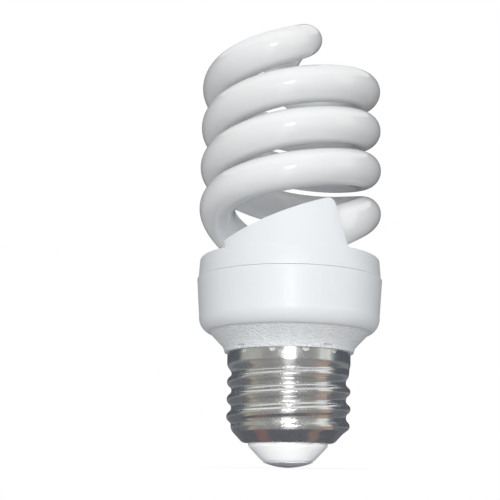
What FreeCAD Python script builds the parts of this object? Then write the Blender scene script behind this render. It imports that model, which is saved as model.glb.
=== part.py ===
import FreeCAD, Part

import math
import os

import Sketcher
from FreeCAD import Placement, Rotation, Vector

# Spiral energy saving bulb: millimetres, +Z up along the lamp's axis, origin at the lowest point of
# the centre contact. The front of the lamp, with the mouth of one hood at its right, faces -Y.

doc = FreeCAD.newDocument("spiral_bulb")
sheet = doc.addObject("Spreadsheet::Sheet", "Sizes")

# Each row of the sheet is one driving size: its name and its value.
SIZES = [
    # Whole lamp
    ("overall_height", 98.0),
    ("lamp_radius", 20.0),
    ("fit_clearance", 0.1),
    # Glass tube: two helices joined over the top by a bridge, the lower ends dive under the hoods
    ("tube_radius", 3.9),
    ("coil_pitch", 18.4),
    ("coil_rise", 14.7),
    ("bridge_bend_radius", 6.5),
    ("bridge_heading", -70.0),
    ("dive_start_angle", 18.0),
    ("dive_blend_angle", 30.0),
    ("dive_pitch", 39.8),
    ("dive_inset", 10.0),
    ("tube_end_angle", -105.0),
    # Moulded cover with the two hoods
    ("cover_step", 0.25),
    ("cover_draft", 0.25),
    ("cover_rim_round", 0.7),
    ("cover_height", 4.6),
    ("seam_gap", 0.2),
    ("cover_top_wall", 1.6),
    ("lip_wall", 1.2),
    ("hood_step", 0.1),
    ("hood_wall", 1.6),
    ("hood_round", 2.6),
    ("brow_round", 1.6),
    ("hood_inner_reach", 6.0),
    ("hood_mouth_angle", -57.0),
    ("hood_tail_angle", -128.0),
    ("tunnel_clearance", 0.25),
    # Ballast housing: collar, grained cone and neck
    ("collar_height", 11.3),
    ("collar_draft", 0.6),
    ("collar_foot_inset", 2.4),
    ("collar_foot_rise", 3.4),
    ("collar_foot_round", 3.6),
    ("collar_step", 0.4),
    ("cone_height", 3.2),
    ("flange_draft", 0.3),
    ("flange_height", 1.1),
    ("flange_lap", 0.65),
    ("housing_wall", 1.6),
    ("board_ledge", 1.9),
    ("slot_width", 2.4),
    ("slot_height", 0.7),
    ("slot_depth", 0.8),
    ("slot_front_angle", -136.0),
    ("slot_spread", 81.0),
    # Screw shell
    ("shell_top_height", 23.9),
    ("skirt_flare", 1.0),
    ("shell_skirt_height", 3.0),
    ("shell_core_radius", 12.15),
    ("shell_cone_height", 8.0),
    ("shell_foot_height", 5.0),
    ("shell_foot_radius", 9.6),
    ("shell_lip", 0.9),
    ("shell_wall", 0.3),
    ("thread_depth", 0.95),
    ("thread_pitch", 3.629),
    ("thread_ridge_width", 3.1),
    ("thread_start_height", 8.55),
    ("thread_end_drop", 0.75),
    ("thread_fade", 2.2),
    ("punch_count", 12),
    ("punch_radius", 0.6),
    # Insulator and centre contact
    ("insulator_shoulder_height", 4.4),
    ("insulator_gap", 0.3),
    ("insulator_tip_radius", 5.4),
    ("insulator_floor", 2.2),
    ("insulator_wall", 2.7),
    ("insulator_rise", 3.2),
    ("contact_radius", 5.2),
    ("contact_height", 1.3),
    ("contact_rim", 0.25),
    ("contact_dome_radius", 14.0),
    ("contact_shank_radius", 1.5),
    ("contact_shank_length", 2.7),
    # Ballast board and its parts
    ("board_rise", 5.8),
    ("board_thickness", 1.2),
    ("lead_side", 0.5),
    ("lead_tail", 0.8),
    ("solder_clearance", 0.1),
    ("part_gap", 0.6),
    ("electrolytic_radius", 4.0),
    ("electrolytic_length", 13.0),
    ("electrolytic_offset", 5.2),
    ("electrolytic_lead_spacing", 3.5),
    ("choke_near", 2.2),
    ("choke_length", 8.0),
    ("choke_width", 9.6),
    ("choke_height", 7.6),
    ("choke_leg", 1.2),
    ("bobbin_wall", 0.3),
    ("winding_build", 0.7),
    ("toroid_radius", 3.4),
    ("toroid_bore", 1.7),
    ("toroid_height", 3.0),
    ("toroid_offset", 9.8),
    ("toroid_turns", 8),
    ("toroid_wire", 0.4),
    ("film_length", 7.0),
    ("film_width", 2.6),
    ("film_height", 5.0),
    ("film_offset", 7.9),
    ("start_cap_radius", 2.2),
    ("start_cap_width", 1.6),
    ("start_cap_offset", 8.5),
    ("transistor_radius", 2.2),
    ("transistor_flat", 1.0),
    ("transistor_height", 4.0),
    ("transistor_reach", 9.4),
    ("transistor_spread", 6.9),
    ("transistor_lead_pitch", 1.27),
    ("diode_radius", 1.3),
    ("diode_length", 4.2),
    ("diode_offset", 5.6),
    ("diode_spacing", 3.4),
    ("small_part_radius", 0.9),
    ("small_part_length", 3.4),
    ("small_part_offset", 7.8),
    ("small_part_spacing", 2.4),
    ("wire_radius", 0.3),
    ("fuse_radius", 1.2),
    ("fuse_length", 7.0),
    ("fuse_height", 10.0),
    ("shell_lead_gap", 0.95),
    ("shell_lead_angle", 130.0),
    ("shell_lead_drop", 2.4),
    ("pin_side", 0.8),
    ("pin_rise", 1.6),
    ("pin_spread", 3.0),
    ("pin_reach", 3.2),
    ("filament_wire_radius", 0.2),
    ("cement_depth", 1.6),
    ("cement_width", 1.2),
]

for row, (alias, value) in enumerate(SIZES, start=1):
    sheet.set("A%d" % row, alias)
    sheet.set("B%d" % row, str(value))
    sheet.setAlias("B%d" % row, alias)
doc.recompute()


class Size:
    """A size that carries its number and the sheet formula that drives it."""

    def __init__(self, number, formula):
        self.number = number
        self.formula = formula

    def combined(self, sign, other, number):
        return Size(number, "(%s %s %s)" % (self.formula, sign, other.formula))

    def __add__(self, other):
        other = as_size(other)
        return self.combined("+", other, self.number + other.number)

    def __sub__(self, other):
        other = as_size(other)
        return self.combined("-", other, self.number - other.number)

    def __mul__(self, other):
        other = as_size(other)
        return self.combined("*", other, self.number * other.number)

    def __truediv__(self, other):
        other = as_size(other)
        return self.combined("/", other, self.number / other.number)

    def __neg__(self):
        return Size(-self.number, "(-%s)" % self.formula)

    def cos(self):
        return Size(math.cos(math.radians(self.number)), "cos(%s * 1deg)" % self.formula)

    def sin(self):
        return Size(math.sin(math.radians(self.number)), "sin(%s * 1deg)" % self.formula)


def as_size(value):
    return value if isinstance(value, Size) else Size(float(value), repr(float(value)))


def size(alias):
    return Size(float(sheet.get(alias)), "Sizes." + alias)


def number(alias):
    return float(sheet.get(alias))


def bind(obj, prop, value):
    value = as_size(value)
    obj.setExpression(prop, value.formula)


def place(obj, at, turn=None):
    """Set an object's turn and bind its position."""
    obj.Placement = Placement(Vector(*(as_size(c).number for c in at)), turn or Rotation())
    for axis, coordinate in zip("xyz", at):
        bind(obj, "Placement.Base." + axis, coordinate)
    return obj


# Helpers that make document objects


def pin_point(sketch, geometry, end, point):
    """Hold one point of a sketch at a distance from both axes."""
    for kind, axis, coordinate in (("DistanceX", -2, point[0]), ("DistanceY", -1, point[1])):
        coordinate = as_size(coordinate)
        if coordinate.number == 0.0:
            sketch.addConstraint(Sketcher.Constraint("PointOnObject", geometry, end, axis))
            continue
        index = sketch.addConstraint(
            Sketcher.Constraint(kind, -1, 1, geometry, end, coordinate.number))
        sketch.setExpression("Constraints[%d]" % index, coordinate.formula)


def arc_centre(first, last, radius):
    """Centre of the shorter arc that turns left from first to last."""
    chord = last - first
    rise = math.sqrt(radius ** 2 - (chord.Length / 2) ** 2)
    return (first + last) / 2 + Vector(-chord.y, chord.x, 0).normalize() * rise


def turned(label, outline):
    """A piece of revolution about the lamp's axis.

    The outline is a closed list of (radius, height) points, anticlockwise. A third entry makes the
    stretch to the next point a left-hand arc of that radius.
    """
    body = doc.addObject("PartDesign::Body", label)
    sketch = body.newObject("Sketcher::SketchObject", label + "_outline")
    plane = [f for f in body.Origin.OriginFeatures if f.Role == "XZ_Plane"][0]
    sketch.AttachmentSupport = [(plane, "")]
    sketch.MapMode = "FlatFace"
    corners = [Vector(as_size(p[0]).number, as_size(p[1]).number, 0) for p in outline]
    edges = []
    for index, point in enumerate(outline):
        first, last = corners[index], corners[(index + 1) % len(corners)]
        if len(point) == 2:
            edges.append(sketch.addGeometry(Part.LineSegment(first, last)))
            continue
        radius = point[2]
        centre = arc_centre(first, last, radius.number)
        angles = [math.atan2(p.y - centre.y, p.x - centre.x) for p in (first, last)]
        circle = Part.Circle(centre, Vector(0, 0, 1), radius.number)
        edges.append(sketch.addGeometry(Part.ArcOfCircle(circle, angles[0], angles[1])))
        constraint = sketch.addConstraint(Sketcher.Constraint("Radius", edges[-1], radius.number))
        sketch.setExpression("Constraints[%d]" % constraint, radius.formula)
    for index, point in enumerate(outline):
        sketch.addConstraint(Sketcher.Constraint("Coincident", edges[index - 1], 2, edges[index], 1))
        pin_point(sketch, edges[index], 1, point)
    spin = body.newObject("PartDesign::Revolution", label + "_turn")
    spin.Profile = sketch
    spin.ReferenceAxis = (sketch, ["V_Axis"])
    spin.Angle = 360.0
    return body


def rod(name, radius, length, at, turn=None):
    obj = doc.addObject("Part::Cylinder", name)
    bind(obj, "Radius", radius)
    bind(obj, "Height", length)
    return place(obj, at, turn)


def block(name, sides, at, turn=None):
    obj = doc.addObject("Part::Box", name)
    for prop, side in zip(("Length", "Width", "Height"), sides):
        bind(obj, prop, side)
    return place(obj, at, turn)


def fused(label, pieces):
    obj = doc.addObject("Part::MultiFuse", label)
    obj.Shapes = pieces
    return obj


def grouped(label, pieces):
    obj = doc.addObject("Part::Compound", label)
    obj.Links = pieces
    return obj


def cut(label, base, tools):
    obj = doc.addObject("Part::Cut", label)
    obj.Base = base
    obj.Tool = tools[0] if len(tools) == 1 else fused(label + "_tools", tools)
    return obj


def formed(label, shape):
    """A piece that only a formula can shape."""
    obj = doc.addObject("Part::Feature", label)
    obj.Shape = shape
    return obj


def opposite(shape):
    """The same shape half a turn round the lamp's axis."""
    twin = shape.copy()
    twin.rotate(Vector(0, 0, 0), Vector(0, 0, 1), HALF_TURN)
    return twin


ALONG_X = Rotation(Vector(0, 1, 0), 90)
ALONG_Y = Rotation(Vector(1, 0, 0), -90)

# Levels from the screw shell up to the coil, and radii from the lamp's width and the shell's core

shell_top = size("shell_top_height")
cone_foot = shell_top + size("flange_height")
collar_foot = cone_foot + size("cone_height")
board_face = collar_foot + size("board_rise")
board_top = board_face + size("board_thickness")
seam = collar_foot + size("collar_height")
cover_top = seam + size("cover_height")
coil_low = seam + size("coil_rise")
lamp_radius = size("lamp_radius")
coil_radius = lamp_radius - size("tube_radius")
cover_foot_radius = lamp_radius - size("cover_step")
cover_rim_radius = cover_foot_radius - size("cover_draft")
hood_radius = cover_rim_radius - size("hood_step")
core_radius = size("shell_core_radius")
thread_radius = core_radius + size("thread_depth")
skirt_radius = core_radius + size("skirt_flare")
flange_radius = skirt_radius + size("flange_lap")
cone_foot_radius = flange_radius + size("flange_draft")

# Path of the glass tube

HELIX_STEP = 60.0
BEND_STEP = 45.0
STRAIGHT_STEPS = 2
STRAIGHT_ANGLE = 1e-5
SMALL_TURN = 0.5
TURN = 360.0
HALF_TURN = 180.0


def coil_height(angle):
    """Height of the tube's centre where one helix passes an angle in degrees."""
    return coil_low.number + number("coil_pitch") * angle / TURN


def eased(travel, blend, rate):
    """Distance moved when a rate grows from nothing over a blend and then holds."""
    if travel < blend:
        return rate * travel ** 2 / (2 * blend)
    return rate * (travel - blend / 2)


def dive_point(angle):
    """Centre of the tube where it leaves the coil and slopes down and in under a hood."""
    travel = number("dive_start_angle") - angle
    blend = number("dive_blend_angle")
    steeper = (number("dive_pitch") - number("coil_pitch")) / TURN
    height = coil_height(angle) - eased(travel, blend, steeper)
    radius = coil_radius.number - eased(travel, blend * 2, number("dive_inset") / TURN)
    return Vector(radius * math.cos(math.radians(angle)), radius * math.sin(math.radians(angle)), height)


def steps(first, last, step):
    count = max(2, math.ceil(abs(last - first) / step))
    return [first + (last - first) * i / count for i in range(count + 1)]


def bridge_points():
    """Centre line from the axis over the crown to the start of one helix, and the angle there."""
    coil, bend = coil_radius.number, number("bridge_bend_radius")
    heading = math.radians(number("bridge_heading"))
    straight = math.sqrt(coil ** 2 - 2 * coil * bend)
    ahead = Vector(math.cos(heading), math.sin(heading), 0)
    aside = Vector(math.sin(heading), -math.cos(heading), 0)
    centre = ahead * straight + aside * bend
    coil_angle = math.atan2(centre.y, centre.x)
    sweep = (heading - coil_angle + math.pi / 2) % (2 * math.pi)
    length = straight + bend * sweep
    turns = math.ceil((number("overall_height") - coil_low.number) / number("coil_pitch")) - 1
    start_angle = math.degrees(coil_angle) % TURN + TURN * (turns - 1)
    crown = number("overall_height") - number("tube_radius")
    helix_slope = number("coil_pitch") / (2 * math.pi * coil)
    fall = (crown - coil_height(start_angle)) / length
    hump = (fall - helix_slope / 2) * 3 / 2

    def height(travel):
        share = travel / length
        return crown - length * (helix_slope * share ** 2 / 2 + hump * (2 * share ** 2 - 4 * share ** 3 / 3))

    points = []
    for travel in steps(0, straight, straight / STRAIGHT_STEPS)[:-1]:
        points.append(ahead * travel + Vector(0, 0, height(travel)))
    for turn in steps(0, math.degrees(sweep), BEND_STEP)[:-1]:
        spoke = -aside * math.cos(math.radians(turn)) + ahead * math.sin(math.radians(turn))
        points.append(centre + spoke * bend + Vector(0, 0, height(straight + bend * math.radians(turn))))
    return points, start_angle


def helix_points(start_angle):
    coil = coil_radius.number
    points = []
    for angle in steps(start_angle, number("dive_start_angle"), HELIX_STEP)[:-1]:
        turn = math.radians(angle)
        points.append(Vector(coil * math.cos(turn), coil * math.sin(turn), coil_height(angle)))
    return points


def dive_points(first, last):
    return [dive_point(angle) for angle in steps(first, last, HELIX_STEP)]


def meeting_point(first, first_way, last, last_way):
    """Where two arcs that leave both ends along their ways join with one tangent."""
    span = last - first
    ways = first_way + last_way
    bend = 2 * (1 - first_way.dot(last_way))
    reach = span.dot(span) / (span.dot(ways) + math.sqrt(span.dot(ways) ** 2 + bend * span.dot(span)))
    return (first + last + (first_way - last_way) * reach) / 2


def tube_along(points, radius):
    """A round tube through the points, bent as a row of tangent arcs."""
    line = Part.BSplineCurve()
    line.interpolate(points)
    ways = [Vector(line.tangent(line.parameter(point))[0]) for point in points]
    stops = []
    for index in range(len(points) - 1):
        stops.append(meeting_point(points[index], ways[index], points[index + 1], ways[index + 1]))
        stops.append(points[index + 1])
    ring = Part.Wire(Part.makeCircle(radius, points[0], ways[0]))
    faces = [Part.Face(ring)]
    here, way = points[0], ways[0]
    for stop in stops:
        chord = stop - here
        half_turn = way.getAngle(chord)
        if half_turn < STRAIGHT_ANGLE:
            faces += ring.extrude(chord).Faces
            ring = ring.copy()
            ring.translate(chord)
        else:
            axis = way.cross(chord).normalize()
            centre = here + axis.cross(way) * (chord.Length / 2 / math.sin(half_turn))
            turn = math.degrees(2 * half_turn)
            faces += ring.revolve(centre, axis, turn).Faces
            ring = ring.copy()
            ring.rotate(centre, axis, turn)
            way = Rotation(axis, turn).multVec(way)
        here = stop
    faces.append(Part.Face(ring))
    shell = Part.makeShell(faces)
    shell.sewShape()
    return Part.makeSolid(shell)


over_the_top, coil_start_angle = bridge_points()
half_path = over_the_top + helix_points(coil_start_angle)
half_path += dive_points(number("dive_start_angle"), number("tube_end_angle"))
other_half = [Vector(-p.x, -p.y, p.z) for p in reversed(half_path[1:])]
spiral_tube = formed("spiral_tube", tube_along(other_half + half_path, number("tube_radius")))

# Moulded cover: a turned cap whose lip stands on the board inside the collar, so that a fine gap stays
# over the collar's rim, and two hoods that rise with the tube

lip_radius = lamp_radius - size("housing_wall") - size("fit_clearance")
lip_bore = lip_radius - size("lip_wall")
cover_ceiling = cover_top - size("cover_top_wall")
cover_foot = seam + size("seam_gap")
rim_round = size("cover_rim_round")

cover_cap = turned("cover_cap", [
    (cover_foot_radius, cover_foot),
    (cover_rim_radius, cover_top - rim_round, rim_round),
    (cover_rim_radius - rim_round, cover_top),
    (0, cover_top),
    (0, cover_ceiling),
    (lip_bore, cover_ceiling),
    (lip_bore, board_top),
    (lip_radius, board_top),
    (lip_radius, cover_foot),
])


def mouth_brow(roof):
    """The level edge over a hood's mouth, the highest edge of its roof."""
    return max(roof.Edges, key=lambda edge: edge.CenterOfMass.z)


def hood():
    """One sloping hood: a round-shouldered section swept down the dive, trimmed to the cap's side."""
    mouth, tail = number("hood_mouth_angle"), number("hood_tail_angle")
    anchor = dive_point(mouth)
    path_radius = math.hypot(anchor.x, anchor.y)
    drop = number("dive_pitch") * (mouth - tail) / TURN
    helix = Part.makeHelix(number("dive_pitch"), drop, path_radius)
    helix.rotate(Vector(0, 0, 0), Vector(0, 0, 1), tail)
    helix.translate(Vector(0, 0, anchor.z - drop))
    start = helix.Edges[0]
    foot = start.valueAt(start.FirstParameter)
    ahead = start.tangentAt(start.FirstParameter)
    outward = Vector(foot.x, foot.y, 0).normalize()
    upward = ahead.cross(-outward).normalize()
    top = number("tube_radius") + number("tunnel_clearance") + number("hood_wall")
    inner, outer, bottom = -number("hood_inner_reach"), hood_radius.number, -cover_top.number / 2
    shoulder = number("hood_round")

    def spot(across, up):
        return foot + outward * across + upward * up

    bow = shoulder * (1 - math.sqrt(0.5))
    section = Part.Wire([
        Part.makeLine(spot(inner, bottom), spot(inner, top - shoulder)),
        Part.Arc(spot(inner, top - shoulder), spot(inner + bow, top - bow),
                 spot(inner + shoulder, top)).toShape(),
        Part.makeLine(spot(inner + shoulder, top), spot(outer, top)),
        Part.makeLine(spot(outer, top), spot(outer, bottom)),
        Part.makeLine(spot(outer, bottom), spot(inner, bottom)),
    ])
    ramp = Part.Wire(helix.Edges).makePipeShell([section], True, True)
    floor = cover_top.number - number("cover_top_wall") / 2
    bounds = Part.makeCylinder(hood_radius.number, number("overall_height"), Vector(0, 0, floor))
    roof = ramp.common(bounds)
    return roof.makeFillet(number("brow_round"), [mouth_brow(roof)])


def tunnel():
    """The way through a hood and the cap's top that a tube end passes."""
    radius = number("tube_radius") + number("tunnel_clearance")
    points = dive_points(number("dive_start_angle"), number("hood_tail_angle"))
    return tube_along(points, radius)


hood_shape, tunnel_shape = hood(), tunnel()
front_hood = formed("front_hood", hood_shape)
rear_hood = formed("rear_hood", opposite(hood_shape))
front_tunnel = formed("front_tunnel", tunnel_shape)
rear_tunnel = formed("rear_tunnel", opposite(tunnel_shape))
cover_blank = fused("cover_blank", [cover_cap, front_hood, rear_hood])
tube_cover = cut("tube_cover", cover_blank, [front_tunnel, rear_tunnel])

# Ballast housing: neck in the screw shell, slotted flange, grained cone, collar with a ledge for the board

skirt_foot = shell_top - size("shell_skirt_height")
shell_skirt_bore = skirt_radius - size("shell_wall")
neck_radius = shell_skirt_bore - size("fit_clearance")
neck_bore = neck_radius - size("housing_wall")
neck_foot = skirt_foot + size("fit_clearance")
collar_bore = lamp_radius - size("housing_wall")
ledge_bore = collar_bore - size("board_ledge")
collar_foot_radius = lamp_radius - size("collar_foot_inset")
cone_head_radius = collar_foot_radius - size("collar_step")

housing_blank = turned("housing_blank", [
    (neck_bore, neck_foot),
    (neck_radius, neck_foot),
    (neck_radius, shell_top),
    (flange_radius, shell_top),
    (cone_foot_radius, cone_foot),
    (cone_head_radius, collar_foot),
    (collar_foot_radius, collar_foot, size("collar_foot_round")),
    (lamp_radius - size("collar_draft"), collar_foot + size("collar_foot_rise")),
    (lamp_radius, seam),
    (collar_bore, seam),
    (collar_bore, board_face),
    (ledge_bore, board_face),
    (ledge_bore, collar_foot + size("housing_wall")),
    (neck_bore, cone_foot),
])


def flange_slots():
    """Four shallow slots in the flange over the screw shell, two in front and their twins behind."""
    slots = []
    radius = flange_radius - size("slot_depth")
    height = shell_top + (size("flange_height") - size("slot_height")) / 2
    for index in range(4):
        angle = size("slot_front_angle") + size("slot_spread") * (index % 2) + HALF_TURN * (index // 2)
        ahead = Rotation(Vector(0, 0, 1), angle.number)
        across = size("slot_width") / 2
        x = radius * angle.cos() + across * angle.sin()
        y = radius * angle.sin() - across * angle.cos()
        sides = (size("slot_depth") * 4, size("slot_width"), size("slot_height"))
        slot = block("flange_slot_%d" % index, sides, (x, y, height), ahead)
        bind(slot, "Placement.Rotation.Angle", angle)
        slots.append(slot)
    return slots


ballast_housing = cut("ballast_housing", housing_blank, flange_slots())

# Screw shell: rolled sheet with a rounded right-hand thread and a ring of punch marks

THREAD_FLATS = 4

shell_wall = size("shell_wall")
core_top = skirt_foot - size("skirt_flare")
foot_height = size("shell_foot_height")
lip_edge = size("shell_foot_radius") - size("shell_lip")

shell_blank = turned("shell_blank", [
    (lip_edge, foot_height),
    (size("shell_foot_radius"), foot_height),
    (core_radius, size("shell_cone_height")),
    (core_radius, core_top),
    (skirt_radius, skirt_foot),
    (skirt_radius, shell_top),
    (shell_skirt_bore, shell_top),
    (shell_skirt_bore, skirt_foot),
    (core_radius - shell_wall, core_top),
    (core_radius - shell_wall, size("shell_cone_height")),
    (size("shell_foot_radius") - shell_wall, foot_height + shell_wall),
    (lip_edge, foot_height + shell_wall),
])


def thread_ridge():
    """The thread's rounded crest in a few flats, swept up the shell and sunk a little into its wall."""
    pitch, base = number("thread_pitch"), number("thread_start_height")
    wall_radius = core_radius.number - number("shell_wall") / 2
    rise = thread_radius.number - wall_radius
    half = number("thread_ridge_width") / 2
    top = skirt_foot.number - number("thread_end_drop")
    helix = Part.makeHelix(pitch, top - base, wall_radius)
    helix.translate(Vector(0, 0, base))
    crest_radius = (half ** 2 + rise ** 2) / (2 * rise)
    crest_angle = math.asin(half / crest_radius)
    corners = []
    for share in steps(-1, 1, 2 / THREAD_FLATS):
        angle = crest_angle * share
        out = wall_radius + rise - crest_radius * (1 - math.cos(angle))
        corners.append(Vector(out, 0, base + crest_radius * math.sin(angle)))
    section = Part.makePolygon(corners + corners[:1])
    return Part.Wire(helix.Edges).makePipeShell([section], True, True)


def punch_marks():
    marks = []
    reach = skirt_radius.number - number("shell_wall") * 2
    for index in range(int(number("punch_count"))):
        angle = math.radians(TURN / number("punch_count") * (index + 0.5))
        ahead = Vector(math.cos(angle), math.sin(angle), 0)
        foot = ahead * reach + Vector(0, 0, number("shell_top_height"))
        marks.append(Part.makeCylinder(number("punch_radius"), number("shell_wall") * 4, foot, ahead))
    return Part.makeCompound(marks)


cone_top = size("shell_cone_height")
thread_room = turned("thread_room", [
    (0, cone_top),
    (core_radius, cone_top),
    (thread_radius + size("fit_clearance"), cone_top + size("thread_fade")),
    (thread_radius + size("fit_clearance"), skirt_foot),
    (0, skirt_foot),
])
faded_ridge = doc.addObject("Part::Common", "faded_ridge")
faded_ridge.Base = formed("thread_ridge", thread_ridge())
faded_ridge.Tool = thread_room
threaded_shell = fused("threaded_shell", [shell_blank, faded_ridge])
screw_shell = cut("screw_shell", threaded_shell, [formed("punch_marks", punch_marks())])

# Insulator in the foot of the shell, and the centre contact riveted into it

contact_back = size("contact_height")
lip_back = foot_height + shell_wall
shoulder = lip_edge - size("insulator_gap")
flange = size("shell_foot_radius") - shell_wall - size("fit_clearance")
insulator_top = lip_back + size("insulator_rise")
insulator_floor = contact_back + size("insulator_floor")
shank_bore = size("contact_shank_radius") + size("fit_clearance")

base_insulator = turned("base_insulator", [
    (shank_bore, contact_back),
    (size("insulator_tip_radius"), contact_back),
    (shoulder, size("insulator_shoulder_height")),
    (shoulder, lip_back),
    (flange, lip_back),
    (flange, insulator_top),
    (flange - size("insulator_wall"), insulator_top),
    (flange - size("insulator_wall"), insulator_floor),
    (shank_bore, insulator_floor),
])

shank_top = contact_back + size("contact_shank_length")
centre_contact = turned("centre_contact", [
    (0, 0, size("contact_dome_radius")),
    (size("contact_radius"), contact_back - size("contact_rim")),
    (size("contact_radius"), contact_back),
    (size("contact_shank_radius"), contact_back),
    (size("contact_shank_radius"), shank_top),
    (0, shank_top),
])

# Ballast board: large parts hang from its lower face, small ones lie on its upper face

lead = size("lead_side")
holes = []


def lead_at(name, x, y, foot, length):
    """One flat lead through the board, and the hole it passes."""
    gap = size("solder_clearance")
    holes.append(block(name + "_hole", (lead + gap * 2, lead + gap * 2, size("board_thickness")),
                       (x - lead / 2 - gap, y - lead / 2 - gap, board_face)))
    return block(name, (lead, lead, length), (x - lead / 2, y - lead / 2, foot))


def hanging_lead(name, x, y):
    return lead_at(name, x, y, board_face, size("board_thickness") + size("lead_tail"))


spacing = size("electrolytic_lead_spacing") / 2
electrolytic_x = -size("electrolytic_offset")
electrolytic_capacitor = fused("electrolytic_capacitor", [
    rod("electrolytic_can", size("electrolytic_radius"), size("electrolytic_length"),
        (electrolytic_x, 0, board_face - size("electrolytic_length"))),
    hanging_lead("electrolytic_plus", electrolytic_x, spacing),
    hanging_lead("electrolytic_minus", electrolytic_x, -spacing),
])

# Choke: a core with two windows, a bobbin sleeve on its middle leg and the winding on the sleeve

leg = size("choke_leg")
choke_x = size("choke_near")
choke_far = choke_x + size("choke_length")
core_foot = board_face - size("choke_height")
core_middle = board_face - size("choke_height") / 2
window_width = size("choke_width") - leg * 2
window_height = size("choke_height") / 2 - leg * 2


def choke_window(name, foot):
    sides = (size("choke_length"), window_width, window_height)
    return block(name, sides, (choke_x, -window_width / 2, foot))


choke_block = block("choke_block", (size("choke_length"), size("choke_width"), size("choke_height")),
                    (choke_x, -size("choke_width") / 2, core_foot))
choke_core = cut("choke_core", choke_block, [
    choke_window("choke_window_low", core_foot + leg),
    choke_window("choke_window_high", core_middle + leg),
])


def round_the_leg(name, grow):
    """A block round the middle leg of the core, as long as the windows allow."""
    across = window_width - size("fit_clearance") * 2
    sides = (size("choke_length") + grow * 2, across, leg * 2 + grow * 2)
    return block(name, sides, (choke_x - grow, -across / 2, core_middle - leg - grow))


sleeve_in = size("fit_clearance")
sleeve_out = sleeve_in + size("bobbin_wall")
winding_out = sleeve_out + size("winding_build")
choke_bobbin = cut("choke_bobbin", round_the_leg("bobbin_block", sleeve_out),
                   [round_the_leg("bobbin_bore", sleeve_in)])
coil_turns = cut("coil_turns", round_the_leg("coil_block", winding_out),
                 [round_the_leg("coil_bore", sleeve_out)])
coil_lead_x = choke_far + sleeve_out + size("winding_build") / 2
coil_lead_length = size("choke_height") / 2 + size("board_thickness") + size("lead_tail")
coil_leads = [
    lead_at("coil_lead_%d" % index, coil_lead_x, window_width / 4 * side, core_middle, coil_lead_length)
    for index, side in enumerate((-1, 1))
]
choke_winding = fused("choke_winding", [coil_turns] + coil_leads)

# Drive transformer: a ferrite ring wound with single turns that lie against the board

ring_y = size("toroid_offset")
wire = size("toroid_wire")
ring_top = board_face - wire - size("fit_clearance")
ring_foot = ring_top - size("toroid_height")
ring_blank = rod("ring_blank", size("toroid_radius"), size("toroid_height"), (0, ring_y, ring_foot))
toroid_core = cut("toroid_core", ring_blank,
                  [rod("ring_bore", size("toroid_bore"), size("toroid_height"), (0, ring_y, ring_foot))])


def ring_turn(index):
    """One square turn of wire round the ring's section."""
    clearance, thick = number("fit_clearance"), number("toroid_wire")
    inner = Part.makeBox(number("toroid_radius") - number("toroid_bore") + clearance * 2, thick,
                         number("toroid_height") + clearance * 2)
    inner.translate(Vector(number("toroid_bore") - clearance, -thick / 2, -clearance))
    outer = Part.makeBox(inner.BoundBox.XLength + thick * 2, thick, inner.BoundBox.ZLength + thick * 2)
    outer.translate(Vector(number("toroid_bore") - clearance - thick, -thick / 2, -clearance - thick))
    turn = outer.cut(inner)
    turn.rotate(Vector(0, 0, 0), Vector(0, 0, 1), TURN * index / number("toroid_turns"))
    turn.translate(Vector(0, ring_y.number, ring_foot.number))
    return turn


toroid_winding = formed("toroid_winding",
                        Part.makeCompound([ring_turn(i) for i in range(int(number("toroid_turns")))]))


# Film capacitors, side by side in front of the choke

def film_capacitor(label, middle):
    corner = (-size("film_length") / 2, middle - size("film_width") / 2, board_face - size("film_height"))
    body = block(label + "_case", (size("film_length"), size("film_width"), size("film_height")), corner)
    reach = size("film_length") / 2 - lead * 2
    return fused(label, [body, hanging_lead(label + "_left", -reach, middle),
                         hanging_lead(label + "_right", reach, middle)])


film_y = -size("film_offset")
resonant_capacitor = film_capacitor("resonant_capacitor", film_y)
coupling_capacitor = film_capacitor("coupling_capacitor", film_y - size("film_width") - size("part_gap"))

# Ceramic disc that starts the oscillation

disc_x = size("start_cap_offset")
disc_y = -size("film_offset")
disc = rod("start_cap_disc", size("start_cap_radius"), size("start_cap_width"),
           (disc_x, disc_y - size("start_cap_width") / 2, board_face - size("start_cap_radius")), ALONG_Y)
disc_lead_length = size("start_cap_radius") + size("board_thickness") + size("lead_tail")
disc_leads = [
    lead_at("start_cap_lead_%d" % index, disc_x + size("start_cap_radius") / 2 * side, disc_y,
            board_face - size("start_cap_radius"), disc_lead_length)
    for index, side in enumerate((-1, 1))
]
start_capacitor = fused("start_capacitor", [disc] + disc_leads)


# Two switching transistors: half-round cases with three leads each

def transistor(index, side):
    name = "transistor_%d" % index
    x, y = -size("transistor_reach"), size("transistor_spread") * side
    height = size("transistor_height")
    round_case = rod(name + "_round", size("transistor_radius"), height, (x, y, board_face - height))
    flat = block(name + "_flat", (size("transistor_radius"), size("transistor_radius") * 2, height),
                 (x + size("transistor_flat"), y - size("transistor_radius"), board_face - height))
    leads = [
        hanging_lead("%s_lead_%d" % (name, step), x, y + size("transistor_lead_pitch") * step)
        for step in (-1, 0, 1)
    ]
    return fused(name, [cut(name + "_case", round_case, [flat])] + leads)


switching_transistors = grouped("switching_transistors", [transistor(0, -1), transistor(1, 1)])


# Axial parts lie on the upper face of the board with their leads bent down into it

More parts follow.
